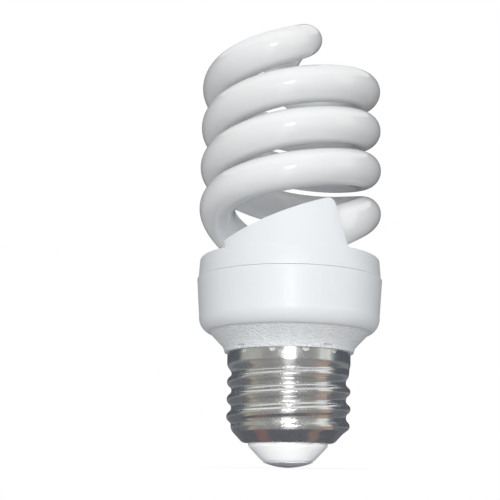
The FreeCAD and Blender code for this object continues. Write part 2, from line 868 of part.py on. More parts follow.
def axial_part(name, radius, length, x, y, along):
    height = board_top + radius
    reach = length / 2 + lead * 2
    if along == ALONG_X:
        ends = [(x - reach, y), (x + reach, y)]
        body_at, wire_at = (x - length / 2, y, height), (x - reach, y - lead / 2, height - lead / 2)
        wire_sides = (reach * 2, lead, lead)
    else:
        ends = [(x, y - reach), (x, y + reach)]
        body_at, wire_at = (x, y - length / 2, height), (x - lead / 2, y - reach, height - lead / 2)
        wire_sides = (lead, reach * 2, lead)
    legs = [
        lead_at("%s_leg_%d" % (name, index), end[0], end[1], board_face, height + lead / 2 - board_face)
        for index, end in enumerate(ends)
    ]
    body = rod(name + "_body", radius, length, body_at, along)
    return fused(name, [body, block(name + "_wire", wire_sides, wire_at)] + legs)


rectifier_diodes = grouped("rectifier_diodes", [
    axial_part("diode_%d" % index, size("diode_radius"), size("diode_length"), size("diode_offset"),
               size("diode_spacing") * (index - 1.5), ALONG_X)
    for index in range(4)
])


def small_axial(name, place_in_row):
    x = -size("small_part_offset") - size("small_part_spacing") * place_in_row
    return axial_part(name, size("small_part_radius"), size("small_part_length"), x, as_size(0), ALONG_Y)


bias_resistors = grouped("bias_resistors", [
    small_axial("base_resistor", 0),
    small_axial("emitter_resistor", 1),
])
trigger_diode = small_axial("trigger_diode", 2)

# Supply leads: a fusible resistor up from the centre contact, a bare wire to the screw shell

wire_radius = size("wire_radius")
wire_hole = wire_radius + size("solder_clearance")
board_back = board_top + size("lead_tail")
fusible_resistor = fused("fusible_resistor", [
    rod("fuse_wire", wire_radius, board_back - shank_top, (0, 0, shank_top)),
    rod("fuse_body", size("fuse_radius"), size("fuse_length"), (0, 0, size("fuse_height"))),
])
holes.append(rod("fuse_wire_hole", wire_hole, size("board_thickness"), (0, 0, board_face)))

shell_lead_angle = size("shell_lead_angle")
shell_lead_reach = neck_bore - size("shell_lead_gap")
shell_lead_x = shell_lead_reach * shell_lead_angle.cos()
shell_lead_y = shell_lead_reach * shell_lead_angle.sin()
shell_lead_foot = neck_foot - size("shell_lead_drop")
shell_bore = core_radius - shell_wall
drop_wire = rod("drop_wire", wire_radius, board_back - shell_lead_foot,
                (shell_lead_x, shell_lead_y, shell_lead_foot))
side_wire = rod("side_wire", wire_radius, shell_bore - shell_lead_reach - size("solder_clearance"),
                (shell_lead_x, shell_lead_y, shell_lead_foot + wire_radius),
                Rotation(Vector(0, 0, 1), shell_lead_angle.number).multiply(ALONG_X))
shell_lead = fused("shell_lead", [drop_wire, side_wire])
holes.append(rod("shell_lead_hole", wire_hole, size("board_thickness"),
                 (shell_lead_x, shell_lead_y, board_face)))

# Filament leads: two from each tube end, wrapped on square pins that stand in the board


def end_frame():
    """Middle of a tube end, the way the tube points there, and the way across it."""
    angle = number("tube_end_angle")
    middle = dive_point(angle)
    ahead = (dive_point(angle - SMALL_TURN) - dive_point(angle + SMALL_TURN)).normalize()
    across = Vector(middle.x, middle.y, 0).normalize()
    return middle, ahead, across


def filament_set():
    """Pins, pin holes and wires at one tube end."""
    middle, ahead, across = end_frame()
    side = number("pin_side")
    gap = number("solder_clearance")
    foot, thick = board_face.number, number("board_thickness")
    pins, pin_holes, wires = [], [], []
    for step in (-1, 1):
        start = middle + across * (step * number("pin_spread") / 2)
        top = start + ahead * number("pin_reach")
        pin_top = foot + thick + number("pin_rise")
        pin = Part.makeBox(side, side, pin_top - foot, Vector(top.x - side / 2, top.y - side / 2, foot))
        hole = Part.makeBox(side + gap * 2, side + gap * 2, thick,
                            Vector(top.x - side / 2 - gap, top.y - side / 2 - gap, foot))
        end = Vector(top.x, top.y, pin_top)
        wire_line = end - start
        wires.append(Part.makeCylinder(number("filament_wire_radius"), wire_line.Length, start, wire_line))
        pins.append(pin)
        pin_holes.append(hole)
    return pins, pin_holes, wires


front_pins, front_pin_holes, front_wires = filament_set()
glass = spiral_tube.Shape
pin_shapes = front_pins + [opposite(p) for p in front_pins]
wire_shapes = front_wires + [opposite(w) for w in front_wires]
filament_pins = formed("filament_pins", Part.makeCompound(pin_shapes))
filament_leads = formed("filament_leads", Part.makeCompound(
    [w.cut(glass).cut(Part.makeCompound(pin_shapes)) for w in wire_shapes]))
holes.append(formed("pin_holes", Part.makeCompound(front_pin_holes + [opposite(h) for h in front_pin_holes])))

board_radius = collar_bore - size("fit_clearance")
board_blank = rod("board_blank", board_radius, size("board_thickness"), (0, 0, board_face))
circuit_board = cut("circuit_board", board_blank, holes)


# Cement round each tube end, under the cover's top

def cement_pad():
    angle = number("tube_end_angle")
    points = dive_points(number("hood_mouth_angle"), angle)
    fat = tube_along(points, number("tube_radius") + number("cement_width"))
    slab = Part.makeCylinder(lip_bore.number - number("fit_clearance"), number("cement_depth"),
                             Vector(0, 0, cover_ceiling.number - number("cement_depth")))
    return fat.common(slab).cut(glass)


pad = cement_pad()
tube_cement = formed("tube_cement", Part.makeCompound([pad, opposite(pad)]))

# Check every object, then write each piece

doc.recompute()
NODES = [
    spiral_tube, tube_cover, tube_cement, ballast_housing, screw_shell, base_insulator, centre_contact,
    circuit_board, electrolytic_capacitor, choke_core, choke_bobbin, choke_winding, toroid_core,
    toroid_winding, resonant_capacitor, coupling_capacitor, start_capacitor, switching_transistors,
    rectifier_diodes, bias_resistors, trigger_diode, fusible_resistor, shell_lead, filament_pins,
    filament_leads,
]


def check(nodes):
    """Stop if any object failed, or any piece has no sound solid."""
    for obj in doc.Objects:
        if "Invalid" in obj.State or "Error" in obj.State:
            raise RuntimeError("%s failed: %s" % (obj.Label, obj.State))
    for obj in nodes:
        if obj.Shape.isNull() or not obj.Shape.isValid() or not obj.Shape.Solids:
            raise RuntimeError("%s has no sound solid" % obj.Label)


check(NODES)
os.makedirs("parts", exist_ok=True)
for node in NODES:
    node.Shape.exportStep("parts/%s.step" % node.Label)
    print(node.Label, len(node.Shape.Solids), "solids, volume %.1f" % node.Shape.Volume)
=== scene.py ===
# %% [markdown]
# # A spiral energy saving bulb
# The lamp has a white glass tube wound as a double spiral, a moulded cover with two hoods that take
# the tube's ends, a round ballast housing, and a nickel screw base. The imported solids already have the
# right sizes, so this lesson softens their edges, raises the bands of the spiral a little, models the
# rolled screw shell afresh, and gives each piece the finish of the real one.

import math

import bmesh
import bpy
from mathutils import Matrix, Vector


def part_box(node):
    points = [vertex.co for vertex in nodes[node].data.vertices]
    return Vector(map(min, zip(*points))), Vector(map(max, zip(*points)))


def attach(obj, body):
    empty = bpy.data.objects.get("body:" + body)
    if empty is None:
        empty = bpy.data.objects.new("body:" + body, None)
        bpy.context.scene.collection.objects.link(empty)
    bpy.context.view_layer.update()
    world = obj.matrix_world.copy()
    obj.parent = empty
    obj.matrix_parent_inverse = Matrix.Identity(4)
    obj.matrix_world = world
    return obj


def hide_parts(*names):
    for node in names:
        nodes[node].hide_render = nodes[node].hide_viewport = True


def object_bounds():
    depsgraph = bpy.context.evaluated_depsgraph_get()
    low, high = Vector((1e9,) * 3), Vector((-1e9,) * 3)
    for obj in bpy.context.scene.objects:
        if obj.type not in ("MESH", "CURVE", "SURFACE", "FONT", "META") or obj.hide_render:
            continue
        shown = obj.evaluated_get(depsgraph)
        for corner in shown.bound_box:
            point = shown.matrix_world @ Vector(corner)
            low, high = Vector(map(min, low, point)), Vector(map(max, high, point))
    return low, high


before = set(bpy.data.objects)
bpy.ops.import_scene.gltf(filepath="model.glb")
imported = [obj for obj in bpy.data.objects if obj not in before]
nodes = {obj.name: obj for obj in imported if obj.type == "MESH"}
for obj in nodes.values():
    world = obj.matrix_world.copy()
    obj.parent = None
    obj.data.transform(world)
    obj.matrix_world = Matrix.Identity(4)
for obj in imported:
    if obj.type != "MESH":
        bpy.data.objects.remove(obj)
solids_low, solids_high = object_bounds()
MM = 0.001
print("loaded", len(nodes), "nodes, height in mm", round((solids_high.z - solids_low.z) / MM, 1))

# %% [markdown]
# ## The camera
# The photograph looks up at the lamp from the level of its foot: the rings of the spiral curve upwards
# and the underside of the collar shows. A camera close by with a medium lens gives that perspective.
# The lamp stands a little right of the middle, so the lens is shifted instead of turning the camera.

# %% Place the camera low, in front
CAMERA_DISTANCE = 211 * MM
CAMERA_HEIGHT = 1.2 * MM
LOOK_UP = math.radians(12.13)
ROLL = math.radians(0.57)
FOCAL_LENGTH, SENSOR_WIDTH, SIDE_SHIFT = 71, 36, -0.08
NEAREST_SEEN = 10 * MM

lens = bpy.data.cameras.new("low_camera")
lens.lens = FOCAL_LENGTH
lens.sensor_width = SENSOR_WIDTH
lens.shift_x = SIDE_SHIFT
lens.clip_start = NEAREST_SEEN
camera = bpy.data.objects.new("low_camera", lens)
bpy.context.collection.objects.link(camera)
aim = Matrix.Rotation(math.pi / 2 + LOOK_UP, 4, "X") @ Matrix.Rotation(ROLL, 4, "Z")
camera.matrix_world = Matrix.Translation((0, -CAMERA_DISTANCE, CAMERA_HEIGHT)) @ aim
bpy.context.scene.camera = camera
print("camera looks up by", round(math.degrees(LOOK_UP), 1), "degrees")

# %% [markdown]
# ## Studio light
# The lamp was lit from the front, at about the height of the lens: each band of glass is an even white
# and turns grey only at its edges. A wide, low strip in front gives that light and a small disc near
# the camera its glints. A sheet behind lifts the far side, a narrow beam the white foot, and a dim world
# fills the shade. Only rays that reach the camera, or that metal and glass reflect, see the world as
# white, so the white ground adds no light to the lamp.

# %% Set the lights
LAMP_MIDDLE = Vector((0, 0, 45 * MM))
FOOT_MIDDLE = Vector((0, 0, 3 * MM))
FOOT_BEAM = math.radians(8)


def soft_lamp(name, place, width, height, watts, target):
    """An oval light, in metres and watts, that faces a target."""
    light = bpy.data.lights.new(name, "AREA")
    light.shape = "ELLIPSE"
    light.size = width
    light.size_y = height
    light.energy = watts
    lamp = bpy.data.objects.new(name, light)
    bpy.context.collection.objects.link(lamp)
    lamp.location = place
    lamp.rotation_euler = (target - Vector(place)).to_track_quat("-Z", "Y").to_euler()
    print(name, watts, "W")
    return lamp


soft_lamp("lens_light", (0.01, -0.5, 0.09), 0.1, 0.1, 0.3, LAMP_MIDDLE)
front_strip = soft_lamp("front_strip", (0.0, -0.75, 0.17), 1.8, 0.3, 4.3, LAMP_MIDDLE)
front_strip.visible_glossy = False
back_sheet = soft_lamp("back_sheet", (-0.05, 1.0, 0.5), 1.2, 1.2, 7.5, LAMP_MIDDLE)
back_sheet.visible_glossy = False
foot_light = soft_lamp("foot_light", (0, -0.25, 0.02), 0.02, 0.02, 0.0006, FOOT_MIDDLE)
foot_light.data.spread = FOOT_BEAM

# %% Fill the room
ROOM_FILL = 0.44
bpy.context.scene.view_settings.view_transform = "Standard"
room = bpy.data.worlds.new("pale_room")
bpy.context.scene.world = room
room.use_nodes = True


def seen_directly(tree):
    """A socket that is 1 for rays from the camera, from gloss and through glass."""
    path = tree.nodes.new("ShaderNodeLightPath")
    first = tree.nodes.new("ShaderNodeMath")
    first.operation = "MAXIMUM"
    tree.links.new(path.outputs["Is Camera Ray"], first.inputs[0])
    tree.links.new(path.outputs["Is Glossy Ray"], first.inputs[1])
    both = tree.nodes.new("ShaderNodeMath")
    both.operation = "MAXIMUM"
    tree.links.new(first.outputs[0], both.inputs[0])
    tree.links.new(path.outputs["Is Transmission Ray"], both.inputs[1])
    return both.outputs[0]


tree = room.node_tree
sky = tree.nodes["Background"]
sky.inputs["Color"].default_value = (1, 1, 1, 1)
level = tree.nodes.new("ShaderNodeMapRange")
level.inputs["To Min"].default_value = ROOM_FILL
level.inputs["To Max"].default_value = 1.0
tree.links.new(seen_directly(tree), level.inputs["Value"])
tree.links.new(level.outputs[0], sky.inputs["Strength"])
print("room fill", ROOM_FILL)

# %% [markdown]
# ## Cards for the metal to mirror
# Bright metal has no look of its own: it shows the room. The shell in the photograph mirrors a dim
# room with a pale window at its right and a dark floor with a few warm spots, so grey cards stand in a
# ring round the lamp and mats lie under it. They are seen by reflections alone and neither light nor
# shade anything.

# %% Choose the cards and mats
RING_RADIUS, RING_TOP = 900 * MM, 750 * MM
MAT_HOLE, MAT_EDGE = 18 * MM, 70 * MM
# Name, first and last angle from the front in degrees, colour.
CARDS = [
    ("card_front", -50, 57, (0.34, 0.34, 0.33)),
    ("card_window", 57, 86, (0.85, 0.87, 0.83)),
    ("card_right", 86, 150, (0.1, 0.115, 0.135)),
    ("card_back", 150, 210, (0.1, 0.1, 0.11)),
    ("card_left", 210, 262, (0.1, 0.115, 0.135)),
    ("card_shelf", 262, 310, (0.48, 0.48, 0.44)),
]
# Name, first and last angle, inner and outer radius, colour.
MATS = [
    ("mat_under", 58, 302, 0, MAT_HOLE, (0.12, 0.125, 0.14)),
    ("mat_left", -58, -36, 0, MAT_HOLE, (0.24, 0.15, 0.15)),
    ("mat_front", -36, 36, 0, MAT_HOLE, (0.13, 0.135, 0.15)),
    ("mat_right", 36, 58, 0, MAT_HOLE, (0.25, 0.2, 0.18)),
    ("mat_path", -9, 9, MAT_HOLE, RING_RADIUS, (0.85, 0.85, 0.85)),
    ("mat_near", 9, 54, MAT_HOLE, MAT_EDGE, (0.3, 0.3, 0.29)),
    ("mat_warm", 54, 76, MAT_HOLE, MAT_EDGE, (0.5, 0.36, 0.29)),
    ("mat_round", 76, 288, MAT_HOLE, MAT_EDGE, (0.15, 0.16, 0.18)),
    ("mat_tan", 288, 304, MAT_HOLE, MAT_EDGE, (0.46, 0.4, 0.32)),
    ("mat_far", 304, 351, MAT_HOLE, MAT_EDGE, (0.3, 0.3, 0.29)),
    ("mat_outer", 9, 351, MAT_EDGE, RING_RADIUS, (0.24, 0.25, 0.26)),
]
print(len(CARDS), "cards and", len(MATS), "mats")

# %% Stand the cards and lay the mats
MAT_LEVEL = -0.02 * MM
CARD_STEPS = 24


def reflected_only(name, first, last, corners, colour):
    """A strip between two corners (radius, height), spun from one angle to another, for gloss alone."""
    shape = bmesh.new()
    turn = Matrix.Rotation(math.radians(first), 3, "Z")
    ends = [shape.verts.new(turn @ Vector((0, -radius, height))) for radius, height in corners]
    edge = shape.edges.new(ends)
    bmesh.ops.spin(shape, geom=ends + [edge], cent=(0, 0, 0), axis=(0, 0, 1), dvec=(0, 0, 0),
                   angle=math.radians(last - first), steps=CARD_STEPS)
    mesh = bpy.data.meshes.new(name)
    shape.to_mesh(mesh)
    shape.free()
    tone = bpy.data.materials.new(name)
    tone.use_nodes = True
    paint = tone.node_tree.nodes.new("ShaderNodeEmission")
    paint.inputs["Color"].default_value = (*colour, 1)
    tone.node_tree.links.new(paint.outputs[0], tone.node_tree.nodes["Material Output"].inputs["Surface"])
    mesh.materials.append(tone)
    card = bpy.data.objects.new(name, mesh)
    bpy.context.collection.objects.link(card)
    card.visible_camera = False
    card.visible_diffuse = False
    card.visible_transmission = False
    card.visible_shadow = False


for name, first, last, colour in CARDS:
    reflected_only(name, first, last, [(RING_RADIUS, 0), (RING_RADIUS, RING_TOP)], colour)
for name, first, last, inner, outer, colour in MATS:
    reflected_only(name, first, last, [(inner, MAT_LEVEL), (outer, MAT_LEVEL)], colour)
print("cards stand in a ring of", round(RING_RADIUS, 2), "m")

# %% [markdown]
# ## The floor
# A plain floor lies under the contact, palest near it, where it sends light up to the cone. The camera
# sees it glow, fully so away from the lamp, where it runs into the white ground without an edge, and
# less near the contact, where the shadow stays.

# %% Lay the floor
FLOOR_REACH, FLOOR_LEVEL = 3.0, -0.05 * MM
floor_shape = bmesh.new()
bmesh.ops.create_grid(floor_shape, x_segments=1, y_segments=1, size=FLOOR_REACH)
bmesh.ops.translate(floor_shape, verts=floor_shape.verts, vec=(0, 0, FLOOR_LEVEL))
floor_mesh = bpy.data.meshes.new("floor")
floor_shape.to_mesh(floor_mesh)
floor_shape.free()
floor = bpy.data.objects.new("floor", floor_mesh)
bpy.context.collection.objects.link(floor)
print("floor reaches", FLOOR_REACH, "m each way")

# %% Make the floor pale
PALE_NEAR, PALE_FAR, PALE_REACH = 0.85, 0.4, 90 * MM
pale = bpy.data.materials.new("pale_floor")
pale.use_nodes = True
tree = pale.node_tree
matt = tree.nodes["Principled BSDF"]
matt.inputs["Roughness"].default_value = 0.9
matt.inputs["Specular IOR Level"].default_value = 0.0
where = tree.nodes.new("ShaderNodeTexCoord")
away = tree.nodes.new("ShaderNodeVectorMath")
away.operation = "LENGTH"
tree.links.new(where.outputs["Object"], away.inputs[0])
tone = tree.nodes.new("ShaderNodeMapRange")
tone.inputs["From Max"].default_value = PALE_REACH
tone.inputs["To Min"].default_value = PALE_NEAR
tone.inputs["To Max"].default_value = PALE_FAR
tree.links.new(away.outputs["Value"], tone.inputs["Value"])
tree.links.new(tone.outputs[0], matt.inputs["Base Color"])
floor_mesh.materials.append(pale)
print("floor is", PALE_NEAR, "pale at the contact and", PALE_FAR, "far away")

# %% Let the floor glow for the camera
GLOW_NEAR, GLOW_START, GLOW_FULL = 0.8, 5 * MM, 26 * MM
share = tree.nodes.new("ShaderNodeMapRange")
share.interpolation_type = "SMOOTHSTEP"
share.inputs["From Min"].default_value = GLOW_START
share.inputs["From Max"].default_value = GLOW_FULL
share.inputs["To Min"].default_value = GLOW_NEAR
tree.links.new(away.outputs["Value"], share.inputs["Value"])
shown = tree.nodes.new("ShaderNodeMath")
shown.operation = "MULTIPLY"
tree.links.new(share.outputs[0], shown.inputs[0])
tree.links.new(seen_directly(tree), shown.inputs[1])
glow = tree.nodes.new("ShaderNodeEmission")
mix = tree.nodes.new("ShaderNodeMixShader")
tree.links.new(shown.outputs[0], mix.inputs[0])
tree.links.new(matt.outputs[0], mix.inputs[1])
tree.links.new(glow.outputs[0], mix.inputs[2])
tree.links.new(mix.outputs[0], tree.nodes["Material Output"].inputs["Surface"])
print("floor glows by", GLOW_NEAR, "at the contact and fully from", round(GLOW_FULL / MM), "mm on")

# %% [markdown]
# ## Helpers for finishes
# Each finish starts from one Principled shader. Noise on the Object coordinates, which are metres here,
# gives it grain of a true size: a scale of 1000 has details of about a millimetre. Noise stays mostly
# between two middle values, so these are stretched to the full swing of a colour or roughness.

# %% Start a finish and give it noise


def start_finish(name, colour, roughness, sockets):
    """A material with its colour, roughness and any other sockets of the shader set."""
    finish = bpy.data.materials.new(name)
    finish.use_nodes = True
    skin = finish.node_tree.nodes["Principled BSDF"]
    skin.inputs["Base Color"].default_value = (*colour, 1)
    skin.inputs["Roughness"].default_value = roughness
    for socket, value in sockets.items():
        skin.inputs[socket].default_value = value
    return finish


def add_noise(finish, scale, detail=3.0, stretch=(1, 1, 1)):
    """A noise pattern fixed to the piece, and its output."""
    tree = finish.node_tree
    where = tree.nodes.new("ShaderNodeTexCoord")
    mapping = tree.nodes.new("ShaderNodeMapping")
    mapping.inputs["Scale"].default_value = stretch
    noise = tree.nodes.new("ShaderNodeTexNoise")
    noise.inputs["Scale"].default_value = scale
    noise.inputs["Detail"].default_value = detail
    tree.links.new(where.outputs["Object"], mapping.inputs["Vector"])
    tree.links.new(mapping.outputs[0], noise.inputs["Vector"])
    return noise.outputs["Fac"]


print("a finish can start and take noise")

# %% Let noise change a finish
NOISE_LOW, NOISE_HIGH = 0.3, 0.7


def vary(finish, pattern, socket, low, high):
    """Let a pattern swing one number of the shader between two values."""
    tree = finish.node_tree
    span = tree.nodes.new("ShaderNodeMapRange")
    span.inputs["From Min"].default_value = NOISE_LOW
    span.inputs["From Max"].default_value = NOISE_HIGH
    span.inputs["To Min"].default_value = low
    span.inputs["To Max"].default_value = high
    tree.links.new(pattern, span.inputs["Value"])
    tree.links.new(span.outputs[0], tree.nodes["Principled BSDF"].inputs[socket])


def tint(finish, pattern, low, high):
    """Let a pattern swing the colour between two tints."""
    tree = finish.node_tree
    ramp = tree.nodes.new("ShaderNodeValToRGB")
    ramp.color_ramp.elements[0].position = NOISE_LOW
    ramp.color_ramp.elements[0].color = (*low, 1)
    ramp.color_ramp.elements[1].position = NOISE_HIGH
    ramp.color_ramp.elements[1].color = (*high, 1)
    tree.links.new(pattern, ramp.inputs["Fac"])
    tree.links.new(ramp.outputs["Color"], tree.nodes["Principled BSDF"].inputs["Base Color"])


def roughen(finish, pattern, depth, strength=1.0):
    """Let a pattern raise and sink the surface by a depth in metres."""
    tree = finish.node_tree
    bump = tree.nodes.new("ShaderNodeBump")
    bump.inputs["Strength"].default_value = strength
    bump.inputs["Distance"].default_value = depth
    tree.links.new(pattern, bump.inputs["Height"])
    tree.links.new(bump.outputs["Normal"], tree.nodes["Principled BSDF"].inputs["Normal"])
    return bump


print("noise can tint, vary and roughen a finish")

# %% [markdown]
# ## Helpers for pieces
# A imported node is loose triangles. A copy of it has its doubles merged, so that its faces know their
# neighbours and its edges can be softened with a bevel, as a mould softens every edge of plastic.

# %% Copy and soften a piece
MERGE_WITHIN = 0.002 * MM
FLAT_WITHIN = math.radians(0.4)
SHARP_FROM = math.radians(35)
EDGE_SEGMENTS = 3


def merged_copy(node):
    """A node's shape with its doubles merged and its flat faces made whole."""
    shape = bmesh.new()
    shape.from_mesh(nodes[node].data)
    bmesh.ops.remove_doubles(shape, verts=shape.verts, dist=MERGE_WITHIN)
    bmesh.ops.dissolve_limit(shape, angle_limit=FLAT_WITHIN, verts=shape.verts, edges=shape.edges)
    return shape


def soften(shape, width):
    """Bevel every sharp edge by a width."""
    edges = [e for e in shape.edges if e.is_manifold and e.calc_face_angle() > SHARP_FROM]
    bmesh.ops.bevel(shape, geom=edges, offset=width, offset_type="OFFSET", affect="EDGES",
                    segments=EDGE_SEGMENTS, profile=0.5, material=-1, clamp_overlap=True)


print("edges are sharp from", round(math.degrees(SHARP_FROM)), "degrees on")

# %% Keep a piece
SMOOTH_BELOW = math.radians(40)


def keep_piece(shape, name, finish, node):
    """Make the finished shape an object that rides on the lamp in place of its node."""
    mesh = bpy.data.meshes.new(name)
    shape.to_mesh(mesh)
    shape.free()
    mesh.materials.append(finish)
    mesh.shade_smooth()
    mesh.set_sharp_from_angle(angle=SMOOTH_BELOW)
    piece = bpy.data.objects.new(name, mesh)
    bpy.context.collection.objects.link(piece)
    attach(piece, "root")
    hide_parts(node)
    print(name, "has", len(mesh.polygons), "faces")


print("pieces shade smooth below", round(math.degrees(SMOOTH_BELOW)), "degrees")

# %% [markdown]
# ## A small lift
# In the photograph the bands of the spiral and the tops of the hoods stand about a millimetre higher
# than in the solids. Each band could be moved by itself, but then the tube would leave its hoods. So
# tube and cover rise together, by an amount that depends on the height alone: nothing at the cover's
# rim, all of it between the hoods' tops and the top band, and nothing again at the crown, so that the
# lamp keeps its size.

# %% Prepare the lift
LIFT, LIFT_FOOT, LIFT_FULL, LIFT_END = 1.1 * MM, 43 * MM, 52 * MM, 86 * MM


def ease(value):
    """Go from 0 to 1 with a soft start and a soft end."""
    value = max(0.0, min(1.0, value))
    return value * value * (3 - 2 * value)


def raise_points(shape):
    """Move each point up by the lift that its height calls for."""
    for vert in shape.verts:
        rise = (vert.co.z - LIFT_FOOT) / (LIFT_FULL - LIFT_FOOT)
        fall = (vert.co.z - LIFT_END) / (solids_high.z - LIFT_END)
        vert.co.z += LIFT * ease(rise) * (1 - ease(fall))


print("lift of", round(LIFT / MM, 2), "mm")

# %% [markdown]
# ## The glass tube
# The tube is clear glass with a white powder coat on its inside. From outside that is a white body
# under a hard clear gloss, so the shader gets a white base and a full clear coat. A slow, faint noise
# makes the reflections waver as on drawn glass.

# %% Glaze the spiral
coated_glass = start_finish("coated_glass", (0.9, 0.905, 0.915), 0.5, {
    "Coat Weight": 1.0,
    "Coat Roughness": 0.1,
    "Coat IOR": 1.7,
    "Specular IOR Level": 0.2,
})
tint(coated_glass, add_noise(coated_glass, 60), (0.885, 0.9, 0.9), (0.91, 0.915, 0.93))
roughen(coated_glass, add_noise(coated_glass, 120, 1.0), 0.02 * MM, 0.3)
tube_shape = merged_copy("spiral_tube")
raise_points(tube_shape)
keep_piece(tube_shape, "glass_spiral", coated_glass, "spiral_tube")

# %% [markdown]
# ## White mouldings
# The cover and the housing are white plastic from a polished mould, except for the cone under the
# collar, where the mould was spark eroded and leaves a fine matt grain. The grain starts below a height
# read from the Object coordinates, so one finish serves both pieces. Between cover and collar runs a
# hairline seam. It is drawn by the points of the cover's rim, which are set a fixed gap over the collar.

# %% Mix the white plastic
GRAIN_TOP, GRAIN_DEPTH = 28.1 * MM, 0.3 * MM
white_plastic = start_finish("white_plastic", (0.86, 0.89, 0.91), 0.46, {
    "Specular IOR Level": 0.45,
    "Coat Weight": 0.5,
    "Coat Roughness": 0.28,
})
tint(white_plastic, add_noise(white_plastic, 90), (0.85, 0.88, 0.9), (0.87, 0.895, 0.915))

tree = white_plastic.node_tree
where = tree.nodes.new("ShaderNodeTexCoord")
axes = tree.nodes.new("ShaderNodeSeparateXYZ")
below = tree.nodes.new("ShaderNodeMath")
below.operation = "LESS_THAN"
below.inputs[1].default_value = GRAIN_TOP
tree.links.new(where.outputs["Object"], axes.inputs[0])
tree.links.new(axes.outputs["Z"], below.inputs[0])
grain = roughen(white_plastic, add_noise(white_plastic, 2200, 2.0), GRAIN_DEPTH)
tree.links.new(below.outputs[0], grain.inputs["Strength"])
print("grain below", round(GRAIN_TOP / MM, 1), "mm")

# %% Mould the cover
SEAM_GAP, RIM_BAND, COVER_EDGE = 0.14 * MM, 0.3 * MM, 0.18 * MM
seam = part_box("ballast_housing")[1].z
cover_shape = merged_copy("tube_cover")
rim = [v for v in cover_shape.verts if seam < v.co.z < seam + RIM_BAND]
for vert in rim:
    vert.co.z = seam + SEAM_GAP
raise_points(cover_shape)
soften(cover_shape, COVER_EDGE)
keep_piece(cover_shape, "hooded_cover", white_plastic, "tube_cover")

# %% Mould the housing
HOUSING_EDGE = 0.15 * MM
housing_shape = merged_copy("ballast_housing")
soften(housing_shape, HOUSING_EDGE)
keep_piece(housing_shape, "collar_and_cone", white_plastic, "ballast_housing")

# %% [markdown]
# ## The screw shell
# The real shell is one sheet of nickel-plated metal with a thread rolled into it. A swept thread would
# leave ends to trim, so the shell is spun from its outline first, with rounded bends, and its points are
# pushed out along the helix after that. The outline is cut finely where the thread will run.

# %% Draw the shell's outline
SHELL_FOOT, CONE_TOP, SKIRT_FOOT, SHELL_TOP = 5.0 * MM, 7.7 * MM, 20.9 * MM, 23.9 * MM
LIP_RADIUS, FOOT_RADIUS, CORE_RADIUS, SKIRT_RADIUS = 8.75 * MM, 9.6 * MM, 12.15 * MM, 13.15 * MM
FLARE_HEIGHT, FOOT_ROUND, BEND_ROUND = 1.0 * MM, 0.6 * MM, 0.7 * MM
BEND_SEGMENTS = 6

shell = bmesh.new()
outline = [
    (LIP_RADIUS, SHELL_FOOT),
    (FOOT_RADIUS, SHELL_FOOT),
    (CORE_RADIUS, CONE_TOP),
    (CORE_RADIUS, SKIRT_FOOT - FLARE_HEIGHT),
    (SKIRT_RADIUS, SKIRT_FOOT),
    (SKIRT_RADIUS, SHELL_TOP),
]
corners = [shell.verts.new((radius, 0, height)) for radius, height in outline]
for first, last in zip(corners, corners[1:]):
    shell.edges.new((first, last))
for rounded, reach in (corners[1:2], FOOT_ROUND), (corners[2:-1], BEND_ROUND):
    bmesh.ops.bevel(shell, geom=rounded, offset=reach, offset_type="OFFSET", affect="VERTICES",
                    segments=BEND_SEGMENTS, profile=0.5, material=-1)
print("outline has", len(shell.verts), "points")

# %% Cut the outline finely and spin it
CUTS_BY_LENGTH = [(9.9 * MM, 72), (1.8 * MM, 12), (1.08 * MM, 6)]
SPIN_STEPS = 288
for longer_than, cuts in CUTS_BY_LENGTH:
    long_edges = [e for e in shell.edges if e.calc_length() > longer_than]
    bmesh.ops.subdivide_edges(shell, edges=long_edges, cuts=cuts)
bmesh.ops.spin(shell, geom=shell.verts[:] + shell.edges[:], cent=(0, 0, 0), axis=(0, 0, 1),
               dvec=(0, 0, 0), angle=math.tau, steps=SPIN_STEPS, use_merge=True)
bmesh.ops.remove_doubles(shell, verts=shell.verts, dist=MERGE_WITHIN)
print("plain shell has", len(shell.faces), "faces")

# %% [markdown]
# ## The thread
# The thread of a lamp base has no flats, so that it can be rolled into thin sheet: its crest and its root
# are arcs of one radius that meet half way up. That radius follows from the pitch and the rise. A cosine
# would be simpler, but its crests look pointed beside the real ones. At both ends the thread fades into
# the plain shell.

# %% Shape the thread's wave
THREAD_RISE, THREAD_PITCH, THREAD_START = 0.95 * MM, 3.629 * MM, 8.55 * MM
QUARTER_PITCH, HALF_RISE = THREAD_PITCH / 4, THREAD_RISE / 2
ARC_RADIUS = (QUARTER_PITCH ** 2 + HALF_RISE ** 2) / (2 * HALF_RISE)


def thread_wave(aside):
    """Height over the root at a way from the crest: a round crest, then a root of the same radius."""
    if aside < QUARTER_PITCH:
        return THREAD_RISE - ARC_RADIUS + math.sqrt(ARC_RADIUS ** 2 - aside ** 2)
    return ARC_RADIUS - math.sqrt(ARC_RADIUS ** 2 - (2 * QUARTER_PITCH - aside) ** 2)


print("crest and root have a radius of", round(ARC_RADIUS / MM, 2), "mm")

# %% Roll the thread
FIRST_TURN, FADE_IN, LAST_TURN, FADE_OUT = -0.4, 0.55, 3.3, 0.5


def thread_push(angle, height):
    """How far the thread stands out at an angle, in turns, and a height."""
    phase = (height - THREAD_START) / THREAD_PITCH - angle
    ridge = round(phase)
    turn = ridge + angle
    fade = ease((turn - FIRST_TURN) / FADE_IN) * ease((LAST_TURN - turn) / FADE_OUT)
    return fade * thread_wave(abs(phase - ridge) * THREAD_PITCH)


for vert in shell.verts:
    angle = math.atan2(vert.co.y, vert.co.x) / math.tau % 1.0
    around = Vector((vert.co.x, vert.co.y, 0)).normalized()
    if vert.co.z < SKIRT_FOOT:
        vert.co += around * thread_push(angle, vert.co.z)
print("thread of", round(LAST_TURN - FIRST_TURN, 1), "turns, with its ends")

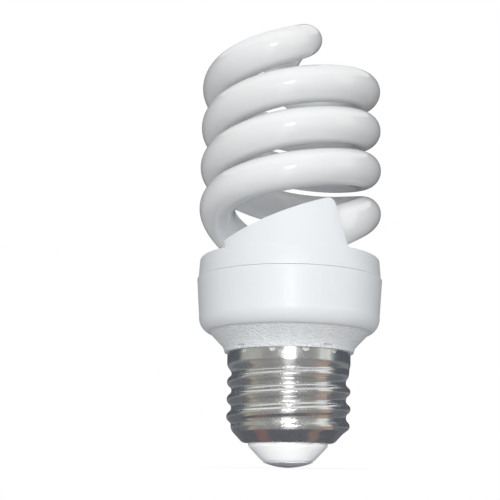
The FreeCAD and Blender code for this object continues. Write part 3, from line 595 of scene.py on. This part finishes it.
# %% [markdown]
# ## Notches and wall
# Half-round notches are punched in the shell's rim, and the white neck shows through them. A boolean
# would leave thin faces round each notch, so the faces inside it are deleted, and the points on its edge
# are moved on to a true circle. The normals are set right before the sheet gets its wall.

# %% Punch the rim and give the sheet its wall
NOTCH_COUNT, NOTCH_RADIUS = 12, 0.85 * MM
SHELL_WALL = 0.3 * MM


def from_notch(place):
    """The way from the nearest notch's centre on the rim, aside and up."""
    angle = math.atan2(place.y, place.x) / math.tau * NOTCH_COUNT
    aside = (angle % 1.0 - 0.5) / NOTCH_COUNT * math.tau * SKIRT_RADIUS
    return Vector((aside, place.z - SHELL_TOP))


punched = [f for f in shell.faces if from_notch(f.calc_center_median()).length < NOTCH_RADIUS]
edge_verts = {v for f in punched for v in f.verts}
bmesh.ops.delete(shell, geom=punched, context="FACES")
for vert in [v for v in edge_verts if v.is_valid]:
    way = from_notch(vert.co)
    round_way = way.normalized() * NOTCH_RADIUS
    turn = Matrix.Rotation((round_way.x - way.x) / SKIRT_RADIUS, 3, "Z")
    vert.co = turn @ vert.co
    vert.co.z = SHELL_TOP + round_way.y
bmesh.ops.recalc_face_normals(shell, faces=shell.faces)
bmesh.ops.solidify(shell, geom=shell.faces[:], thickness=SHELL_WALL)
print("punched", NOTCH_COUNT, "notches")

# %% [markdown]
# ## Nickel plate
# The plate is bright but worn by rolling: it has paler and darker stains, patches that shine more or less,
# and fine marks that run round the shell. So one noise tints it, one varies its roughness, and one that
# is squeezed along the axis raises faint ridges.

# %% Plate the shell with nickel
nickel = start_finish("nickel_plate", (0.78, 0.78, 0.78), 0.22, {"Metallic": 1.0})
tint(nickel, add_noise(nickel, 260, 4.0), (0.72, 0.725, 0.725), (0.84, 0.835, 0.83))
vary(nickel, add_noise(nickel, 700, 4.0), "Roughness", 0.18, 0.32)
roughen(nickel, add_noise(nickel, 300, 5.0, (1, 1, 5)), 0.04 * MM, 0.35)
keep_piece(shell, "rolled_shell", nickel, "screw_shell")

# %% [markdown]
# ## Insulator and centre contact
# Under the shell sits a glossy white insulator, and in its middle a dull metal cap that meets the
# tongue of the lamp holder. Both are turned shapes, so a softened copy of each is enough.

# %% Finish the insulator
INSULATOR_EDGE = 0.5 * MM
glossy_white = start_finish("glossy_insulator", (0.93, 0.935, 0.945), 0.35, {"Coat Weight": 0.5})
tint(glossy_white, add_noise(glossy_white, 150), (0.92, 0.925, 0.935), (0.94, 0.945, 0.955))
insulator_shape = merged_copy("base_insulator")
soften(insulator_shape, INSULATOR_EDGE)
keep_piece(insulator_shape, "foot_insulator", glossy_white, "base_insulator")

# %% Finish the contact
CONTACT_EDGE = 0.15 * MM
dull_metal = start_finish("dull_contact", (0.66, 0.68, 0.73), 0.45, {"Metallic": 0.35})
tint(dull_metal, add_noise(dull_metal, 500, 5.0), (0.56, 0.58, 0.63), (0.74, 0.76, 0.81))
vary(dull_metal, add_noise(dull_metal, 900, 5.0), "Roughness", 0.35, 0.55)
contact_shape = merged_copy("centre_contact")
soften(contact_shape, CONTACT_EDGE)
keep_piece(contact_shape, "contact_cap", dull_metal, "centre_contact")

# %% [markdown]
# ## The ballast inside
# The housing is closed, but the parts inside are there, so each gets a simple finish too. They share
# one recipe: a colour that varies a little, a roughness, and metal or not.

# %% Choose the colours inside
# Colour, roughness, and 1 for metal.
INSIDE = {
    "tube_cement": ((0.8, 0.78, 0.72), 0.9, 0.0),
    "circuit_board": ((0.5, 0.36, 0.16), 0.6, 0.0),
    "electrolytic_capacitor": ((0.03, 0.03, 0.04), 0.3, 0.0),
    "choke_core": ((0.07, 0.07, 0.075), 0.7, 0.0),
    "choke_bobbin": ((0.75, 0.72, 0.62), 0.5, 0.0),
    "choke_winding": ((0.7, 0.33, 0.15), 0.35, 1.0),
    "toroid_core": ((0.07, 0.07, 0.075), 0.7, 0.0),
    "toroid_winding": ((0.7, 0.33, 0.15), 0.35, 1.0),
    "resonant_capacitor": ((0.42, 0.08, 0.05), 0.3, 0.0),
    "coupling_capacitor": ((0.42, 0.08, 0.05), 0.3, 0.0),
    "start_capacitor": ((0.68, 0.38, 0.1), 0.45, 0.0),
    "switching_transistors": ((0.02, 0.02, 0.022), 0.55, 0.0),
    "rectifier_diodes": ((0.02, 0.02, 0.022), 0.5, 0.0),
    "bias_resistors": ((0.7, 0.55, 0.38), 0.5, 0.0),
    "trigger_diode": ((0.1, 0.2, 0.42), 0.4, 0.0),
    "fusible_resistor": ((0.35, 0.5, 0.42), 0.5, 0.0),
    "shell_lead": ((0.65, 0.65, 0.66), 0.3, 1.0),
    "filament_pins": ((0.65, 0.65, 0.66), 0.3, 1.0),
    "filament_leads": ((0.65, 0.65, 0.66), 0.3, 1.0),
}
print(len(INSIDE), "colours for the ballast")

# %% Paint the ballast
DARKER, SPECKLE_SCALE = 0.85, 800
for node, (colour, roughness, metal) in INSIDE.items():
    finish = start_finish(node + "_finish", colour, roughness, {"Metallic": metal})
    darker = tuple(channel * DARKER for channel in colour)
    tint(finish, add_noise(finish, SPECKLE_SCALE), darker, colour)
    nodes[node].data.materials.clear()
    nodes[node].data.materials.append(finish)
print("painted", len(INSIDE), "inner nodes")
